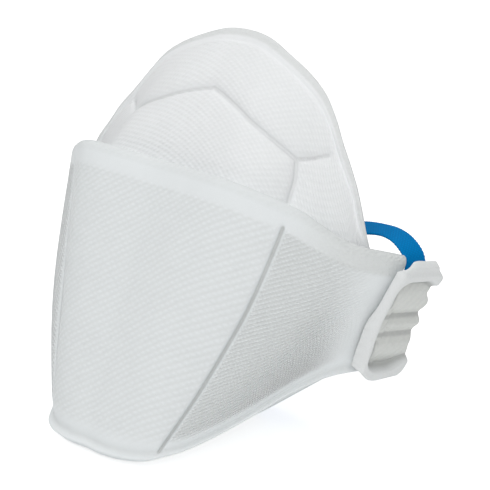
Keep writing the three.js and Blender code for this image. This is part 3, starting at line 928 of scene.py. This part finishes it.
# ---- shared effects ----
def emboss_group(name):
    """Rows of small rounded cells between two sets of furrows, in emboss cells, for bonded cloth."""
    inputs = {"Cells": None, "Mask": 1.0, "Depth": 0.2, "First Furrows": 1.0, "Second Furrows": 1.0}
    group, given, result = new_group(name, inputs, ("Height", "Furrow"))
    parts = add_node(group, "SeparateXYZ", {0: given["Cells"]}).outputs
    rows = []
    for part, label in zip(parts, ("First Furrows", "Second Furrows")):
        turn = calculate(group, "COSINE", times(group, part, 2 * math.pi))
        dip = times_plus(group, turn, -0.5, 0.5)
        rows.append(calculate(group, "SUBTRACT", 1.0, times(group, dip, given[label])))
    cell = calculate(group, "POWER", times(group, *rows), 0.8)
    raised = times(group, cell, given["Mask"])
    group.links.new(times(group, raised, given["Depth"]), result["Height"])
    # Furrow marks the furrows between the cells, where their painted shade goes
    low = calculate(group, "SUBTRACT", 1.0, cell)
    group.links.new(times(group, low, given["Mask"]), result["Furrow"])
    return group


def fibre_group(name):
    """Fine tangled fibres of bonded cloth, and soft clouds where the web is thicker or thinner."""
    group, given, result = new_group(name, {"Size": 0.0004, "Depth": 0.03}, ("Height", "Strand", "Cloud"))
    place = object_place(group)
    scale = calculate(group, "DIVIDE", 1.0, given["Size"])
    noise = {"Vector": place, "Scale": times(group, scale, 0.25), "Detail": 1.0}
    bend = {0: add_node(group, "TexNoise", noise).outputs["Color"], 1: (0.5, 0.5, 0.5)}
    bend = add_node(group, "VectorMath", bend, operation="SUBTRACT").outputs[0]
    bend = add_node(group, "VectorMath", {0: bend, "Scale": 0.004}, operation="SCALE").outputs[0]
    moved = add_node(group, "VectorMath", {0: place, 1: bend}, operation="ADD").outputs[0]
    noise = {"Vector": moved, "Scale": scale, "Detail": 4.0, "Roughness": 0.65}
    strand = add_node(group, "TexNoise", noise).outputs["Fac"]
    cloud = add_node(group, "TexNoise", {"Vector": place, "Scale": 90.0, "Detail": 3.0}).outputs["Fac"]
    group.links.new(times(group, strand, given["Depth"]), result["Height"])
    group.links.new(ramp_between(group, strand, 0.3, 0.7), result["Strand"])
    group.links.new(ramp_between(group, cloud, 0.3, 0.7), result["Cloud"])
    return group


def weld_group(name):
    """A pressed line: its narrow floor, where the fibres are fused, from the distance to it in mm."""
    inputs = {"Distance": 10.0, "Width": 0.5, "Depth": 0.3}
    group, given, result = new_group(name, inputs, ("Height", "Pressed"))
    share = calculate(group, "DIVIDE", given["Distance"], given["Width"])
    pressed = ramp_between(group, share, 0.4, 1.6, 1.0, 0.0)
    sunk = times(group, pressed, -1.0)
    group.links.new(times(group, sunk, given["Depth"]), result["Height"])
    group.links.new(pressed, result["Pressed"])
    return group


def dots_group(name):
    """Fine pressed dots along rims and rolled edges."""
    group, given, result = new_group(name, {"Mask": 1.0, "Size": 0.001, "Depth": 0.1}, ("Height",))
    scale = calculate(group, "DIVIDE", 1.0, given["Size"])
    cells = {"Vector": object_place(group), "Scale": scale, "Randomness": 0.4}
    dot = add_node(group, "TexVoronoi", cells).outputs["Distance"]
    rise = times(group, ramp_between(group, dot, 0.15, 0.6, 1.0, 0.0), given["Mask"])
    group.links.new(times(group, rise, given["Depth"]), result["Height"])
    return group


GROUP_MAKERS = {
    "embossed_cells": emboss_group,
    "bonded_fibres": fibre_group,
    "pressed_weld": weld_group,
    "pressed_dots": dots_group,
}


# ---- materials ----
def cloth_material(name, finish, tint, depth, furrow_shade, welded, rows):
    """Embossed white filter cloth: cells, fibres, pressed weld lines and a stippled rim.

    depth, furrow and welded say how strongly its emboss, the painted shade in its furrows and its weld lines
    show, and rows how much each of the two sets of furrows does. The edge mask paints shade on the front's
    rolled edge, crest band and seam valley, and darkens the nose rim.
    """
    material, tree = new_material(name)
    emboss = {"Cells": uv_map(tree, "emboss"), "Mask": attribute(tree, "emboss_mask")}
    emboss |= {"Depth": depth * finish.emboss_depth / MM, "First Furrows": rows[0], "Second Furrows": rows[1]}
    emboss = place_group(tree, "embossed_cells", emboss)
    fibres = place_group(tree, "bonded_fibres", {"Size": 0.0004, "Depth": 0.025})
    weld = {"Distance": attribute(tree, "line_mask"), "Width": 0.6, "Depth": 0.25}
    weld = place_group(tree, "pressed_weld", weld)
    rim = attribute(tree, "edge_mask")
    dots = place_group(tree, "pressed_dots", {"Mask": rim, "Size": 0.0011, "Depth": 0.1})

    # painted shade in the emboss furrows, stronger where the emboss is deeper
    shade = tinted(tree, (*tint, 1), times(tree, emboss["Furrow"], furrow_shade), finish.furrow_shade_colour)
    # weld lines: darkened partly as fused cloth and partly as painted shade in their grooves
    shade = tinted(tree, shade, times(tree, weld["Pressed"], welded), finish.weld_and_groove_shade_colour)
    # painted shade on the front's rolled edge, crest band and seam valley; a darker band on the nose rim
    shade = tinted(tree, shade, times(tree, rim, finish.rim_shade_share), finish.furrow_shade_colour)
    strand = times_plus(tree, fibres["Strand"], 0.03, 0.97)
    cloud = times_plus(tree, fibres["Cloud"], 0.015, 0.985)
    colour = darkened(tree, shade, times(tree, strand, cloud))

    rough = times_plus(tree, fibres["Strand"], 0.12, 0.8)
    rough = calculate(tree, "SUBTRACT", rough, times(tree, weld["Pressed"], 0.25), clamp=True)
    height = plus(tree, plus(tree, emboss["Height"], fibres["Height"]), weld["Height"])
    height = plus(tree, height, dots["Height"])
    surface = {"Sheen Weight": 0.12, "Sheen Roughness": 0.5, "Specular IOR Level": 0.25}
    return finish_material(material, surface, colour, rough, height)


def tab_material(name, finish):
    """Bonded, pressed cloth of the side tabs, with fused hollows between the ribs."""
    material, tree = new_material(name)
    fibres = place_group(tree, "bonded_fibres", {"Size": 0.0005, "Depth": 0.05})
    weld = {"Distance": attribute(tree, "line_mask"), "Width": 0.85, "Depth": 0.1}
    weld = place_group(tree, "pressed_weld", weld)
    emboss = {"Cells": uv_map(tree, "emboss"), "Mask": attribute(tree, "emboss_mask")}
    emboss |= {"Depth": 0.3, "First Furrows": 0.6}
    emboss = place_group(tree, "embossed_cells", emboss)
    # the recessed bay is painted darker than the lips as painted shade; the lips take the lighter colour
    shade = tinted(tree, (*finish.tab_bay_shade_colour, 1), attribute(tree, "edge_mask"), finish.lip_colour)
    # painted shade in the bay's emboss furrows
    shade = tinted(tree, shade, times(tree, emboss["Furrow"], 0.5), finish.furrow_shade_colour)
    # the rib grooves and the border weld: fused cloth with painted shade in their grooves
    shade = tinted(tree, shade, times(tree, weld["Pressed"], 0.85), finish.weld_and_groove_shade_colour)
    colour = darkened(tree, shade, times_plus(tree, fibres["Strand"], 0.05, 0.95))
    rough = times_plus(tree, fibres["Strand"], 0.15, 0.7)
    height = plus(tree, plus(tree, fibres["Height"], weld["Height"]), emboss["Height"])
    surface = {"Sheen Weight": 0.1, "Sheen Roughness": 0.5, "Specular IOR Level": 0.3}
    return finish_material(material, surface, colour, rough, height)


def strap_material(name, finish, sizes):
    """Flat braided elastic: slanting yarns that pass over each other, in blue."""
    material, tree = new_material(name)
    run, across = add_node(tree, "SeparateXYZ", {0: uv_map(tree, "weave")}).outputs[:2]
    yarns = []
    for slant in (YARN_SLANT, -YARN_SLANT):
        slanted = times_plus(tree, across, slant, run)
        yarns.append(wave(tree, slanted, sizes.strap_stitch / MM))
    over = times(tree, *yarns)
    rib = wave(tree, across, STRAP_RIB)
    # painted shade: the sunken yarns and the valleys between the ribs take the darker strap shade
    colour = tinted(tree, (*finish.strap_shade, 1), over, finish.strap_colour)
    valleys = times_plus(tree, rib, -0.15, 0.15)
    colour = tinted(tree, colour, valleys, finish.strap_shade)
    rough = times_plus(tree, over, 0.12, 0.55)
    height = times_plus(tree, over, 0.05, times(tree, rib, 0.03))
    return finish_material(material, {"Specular IOR Level": 0.05}, colour, rough, height)


def floor_material():
    """Plain white paper, which glows a little so that the shadows on it stay faint."""
    material, tree = new_material("studio_floor")
    grain = add_node(tree, "TexNoise", {"Vector": object_place(tree), "Scale": 6.0}).outputs["Fac"]
    level = times_plus(tree, grain, 0.01, 0.9)
    seen = add_node(tree, "LightPath").outputs["Is Camera Ray"]
    glow = times_plus(tree, seen, 0.5, 0.12)
    tree.links.new(glow, tree.nodes["Principled BSDF"].inputs["Emission Strength"])
    return finish_material(material, {"Emission Color": (1, 1, 1, 1)}, grey(tree, level), level)


# ---- what a user can change ----
def length(name, description, default, least=0.0):
    """Property for a length in metres."""
    text = {"name": name, "description": description}
    return bpy.props.FloatProperty(**text, default=default, min=least, unit="LENGTH")


def colour(name, description, default):
    """Property for a colour."""
    text = {"name": name, "description": description}
    return bpy.props.FloatVectorProperty(**text, default=default, subtype="COLOR", min=0, max=1)


def angle(name, description, degrees):
    """Property for an angle."""
    text = {"name": name, "description": description}
    return bpy.props.FloatProperty(**text, default=math.radians(degrees), subtype="ANGLE")


class RespiratorSizes(bpy.types.PropertyGroup):
    panel_thickness: length("Panel thickness", "Thickness of the filter cloth", 0.0016, 0.0005)
    rim_thickness: length("Rim thickness", "Thickness of the pressed nose rim", 0.001, 0.0003)
    groove_depth: length("Groove depth", "Depth of the weld lines", 0.0009)
    groove_width: length("Groove width", "Half width of the weld lines", 0.0011)
    seam_depth: length("Seam depth", "Depth of the soft valley along the seams", 0.0009)
    quilt_depth: length("Quilt depth", "How far the nose panel sinks at its weld lines", 0.0012)
    centre_emboss: bpy.props.FloatProperty(
        name="Centre emboss",
        description="Depth of the middle facet's emboss as a share of the wings'",
        default=0.5,
    )
    emboss_pitch: length("Emboss pitch", "Distance between furrows", 0.0019)
    tab_thickness: length("Tab thickness", "Thickness of a side tab", 0.0016, 0.0005)
    bay_depth: length("Bay depth", "Extra depth of a tab's bay behind its bead", 0.0026)
    strap_width: length("Strap width", "Width of the elastic", 0.008)
    strap_thickness: length("Strap thickness", "Thickness of the elastic", 0.0011)
    strap_stitch: length("Braid pitch", "Length of one crossing of the braid", 0.0011)
    strap_tooth: length("Edge tooth", "How far the edge of the braid waves", 0.00012)


class RespiratorFinish(bpy.types.PropertyGroup):
    emboss_depth: length("Emboss depth", "Height of the embossed cells", 0.00042)
    # how far the edge mask darkens towards the furrows' shade colour: painted shade on the front's rolled
    # edge, crest band and seam valley, and a darker band on the nose rim
    rim_shade_share: bpy.props.FloatProperty(
        name="Rim shade",
        description="How far rims and rolled edges take the furrows' colour",
        default=0.7,
    )
    cloth_colour: colour("Cloth", "Filter cloth", (0.86, 0.893, 0.903))
    # the nose panel's cloth is painted lighter than the front's: painted light, as it faces up to the lamps
    # and light shines through it
    nose_lit_colour: colour("Nose cloth", "Filter cloth of the nose panel", (0.905, 0.92, 0.93))
    # colour of the painted shade in the emboss furrows, also used on rims and rolled edges
    furrow_shade_colour: colour("Furrows", "Between the embossed cells", (0.7, 0.72, 0.71))
    # colour of the weld lines: fused cloth, with painted shade in their grooves
    weld_and_groove_shade_colour: colour("Welds", "Fused cloth in the weld lines", (0.5, 0.51, 0.5))
    # the bay's colour is painted shade in the recess below the lips
    tab_bay_shade_colour: colour("Tabs", "Side tabs' ribbed bay", (0.75, 0.765, 0.74))
    lip_colour: colour("Tab lips", "Side tabs' raised lips", (0.8, 0.82, 0.82))
    strap_colour: colour("Strap", "Raised yarns of the strap", (0.0, 0.25, 0.62))
    # strap shade is painted shade on the sunken yarns and between the ribs
    strap_shade: colour("Strap shade", "Sunken yarns of the strap", (0.0, 0.19, 0.5))


class RespiratorStage(bpy.types.PropertyGroup):
    camera_distance: length("Camera distance", "From the camera to its aim", 0.9)
    camera_azimuth: angle("Azimuth", "Turn of the camera round the mask", 47)
    camera_height: angle("Elevation", "Height of the camera over the horizon", 17.5)
    aim: bpy.props.FloatVectorProperty(
        name="Aim",
        description="Point that the camera looks at",
        subtype="TRANSLATION",
        default=(0.01024, 0.02169, 0.05948),
    )
    lens: bpy.props.FloatProperty(name="Lens", description="Focal length in mm", default=201.7)
    sky: bpy.props.FloatProperty(name="Sky", description="Strength of the even studio light", default=0.3)


# ---- operators ----
class MakeStage(bpy.types.Operator):
    """Makes the floor, the soft lights and the camera"""

    bl_idname = "respirator.make_stage"
    bl_label = "Stage"

    def execute(self, context):
        scene, setup = context.scene, context.scene.respirator_stage
        bpy.ops.object.select_all(action="DESELECT")
        bpy.ops.mesh.primitive_plane_add(size=8, location=(0, 0, -0.0005))
        floor = context.object
        floor.name = "floor"
        floor.data.materials.append(floor_material())

        a, e = setup.camera_azimuth, setup.camera_height
        back = Vector((math.sin(a) * math.cos(e), -math.cos(a) * math.cos(e), math.sin(e)))
        right = Vector((math.cos(a), math.sin(a), 0))
        up = back.cross(right)
        aim = Vector(setup.aim)
        data = bpy.data.cameras.new("camera")
        data.lens, data.sensor_width, data.sensor_fit = setup.lens, 36, "HORIZONTAL"
        data.clip_start, data.clip_end = 0.05, 20
        camera = bpy.data.objects.new("camera", data)
        camera.location = aim + back * setup.camera_distance
        camera.rotation_euler = back.to_track_quat("Z", "Y").to_euler()
        scene.collection.objects.link(camera)
        scene.camera = camera

        for label, across, above, towards, size, power in STUDIO_LIGHTS:
            lamp = bpy.data.lights.new(label, "AREA")
            lamp.size, lamp.energy = size, power
            light = bpy.data.objects.new(label, lamp)
            place = (right * across + up * above + back * towards).normalized() * LIGHT_DISTANCE
            light.location = aim + place
            light.rotation_euler = place.to_track_quat("Z", "Y").to_euler()
            scene.collection.objects.link(light)
        world = bpy.data.worlds.new("studio")
        world.use_nodes = True
        background = world.node_tree.nodes["Background"]
        background.inputs["Color"].default_value = (1, 1, 1, 1)
        background.inputs["Strength"].default_value = setup.sky
        scene.world = world
        scene.view_settings.view_transform = "Standard"
        return {"FINISHED"}


def make_panel(context, side, shape_of, look):
    """Makes one panel of filter cloth, from its shape and how strongly its emboss shows."""
    finish = context.scene.respirator_finish
    mesh = cloth_mesh(side + "_panel_cloth", shape_of(context.scene.respirator_sizes))
    # the nose panel takes its lighter colour, which is painted light
    tint = finish.nose_lit_colour if side == "nose" else finish.cloth_colour
    show_piece(mesh, cloth_material(side + "_cloth", finish, tint, **look), side + "_panel")
    return {"FINISHED"}


class MakeFrontPanel(bpy.types.Operator):
    """Makes the embossed front panel with its rolled top edge and welded seam"""

    bl_idname = "respirator.make_front_panel"
    bl_label = "Front panel"

    def execute(self, context):
        look = dict(depth=1.0, furrow_shade=0.7, welded=0.65, rows=(0.62, 1.0))
        return make_panel(context, "front", front_shape, look)


class MakeNosePanel(bpy.types.Operator):
    """Makes the embossed nose panel with its weld lines and pressed rim"""

    bl_idname = "respirator.make_nose_panel"
    bl_label = "Nose panel"

    def execute(self, context):
        look = dict(depth=0.42, furrow_shade=0.22, welded=0.25, rows=(0.7, 0.7))
        return make_panel(context, "nose", nose_shape, look)


class MakeChinPanel(bpy.types.Operator):
    """Makes the embossed chin panel under the front panel's seam"""

    bl_idname = "respirator.make_chin_panel"
    bl_label = "Chin panel"

    def execute(self, context):
        look = dict(depth=0.6, furrow_shade=0.4, welded=0.2, rows=(0.6, 0.9))
        return make_panel(context, "chin", chin_shape, look)


class MakeSideTabs(bpy.types.Operator):
    """Makes the two ribbed side tabs"""

    bl_idname = "respirator.make_side_tabs"
    bl_label = "Side tabs"

    def execute(self, context):
        shape = tab_shape(context.scene.respirator_sizes)
        for label, sided in (("side_tab_right", shape), ("side_tab_left", mirrored(shape))):
            material = tab_material(label + "_cloth", context.scene.respirator_finish)
            show_piece(cloth_mesh(label + "_cloth", sided), material, label)
        return {"FINISHED"}


class MakeHeadStrap(bpy.types.Operator):
    """Makes the closed loop of braided elastic"""

    bl_idname = "respirator.make_head_strap"
    bl_label = "Head strap"

    def execute(self, context):
        sizes, finish = context.scene.respirator_sizes, context.scene.respirator_finish
        mesh = strap_mesh("head_strap_elastic", sizes)
        show_piece(mesh, strap_material("strap_elastic", finish, sizes), "head_strap")
        return {"FINISHED"}


class RespiratorPanel(bpy.types.Panel):
    """Lists the respirator's pieces, sizes and colours"""

    bl_idname = "VIEW3D_PT_respirator"
    bl_label = "Respirator"
    bl_space_type = "VIEW_3D"
    bl_region_type = "UI"
    bl_category = "Respirator"

    def draw(self, context):
        column = self.layout.column(align=True)
        for operator in OPERATORS:
            column.operator(operator.bl_idname)
        for label in SETTINGS:
            group = getattr(context.scene, label)
            box = self.layout.box()
            for setting in group.bl_rna.properties.keys():
                if setting not in ("rna_type", "name"):
                    box.prop(group, setting)


SETTINGS = {
    "respirator_sizes": RespiratorSizes,
    "respirator_finish": RespiratorFinish,
    "respirator_stage": RespiratorStage,
}
OPERATORS = (MakeStage, MakeFrontPanel, MakeNosePanel, MakeChinPanel, MakeSideTabs, MakeHeadStrap)
CLASSES = (*SETTINGS.values(), *OPERATORS, RespiratorPanel)


def register():
    for item in CLASSES:
        bpy.utils.register_class(item)
    for label, group in SETTINGS.items():
        setattr(bpy.types.Scene, label, bpy.props.PointerProperty(type=group))


def unregister():
    for label in SETTINGS:
        delattr(bpy.types.Scene, label)
    for item in reversed(CLASSES):
        bpy.utils.unregister_class(item)


def main():
    register()
    bpy.ops.respirator.make_stage()
    bpy.ops.respirator.make_front_panel()
    bpy.ops.respirator.make_nose_panel()
    bpy.ops.respirator.make_chin_panel()
    bpy.ops.respirator.make_side_tabs()
    bpy.ops.respirator.make_head_strap()


if __name__ == "__main__":
    main()
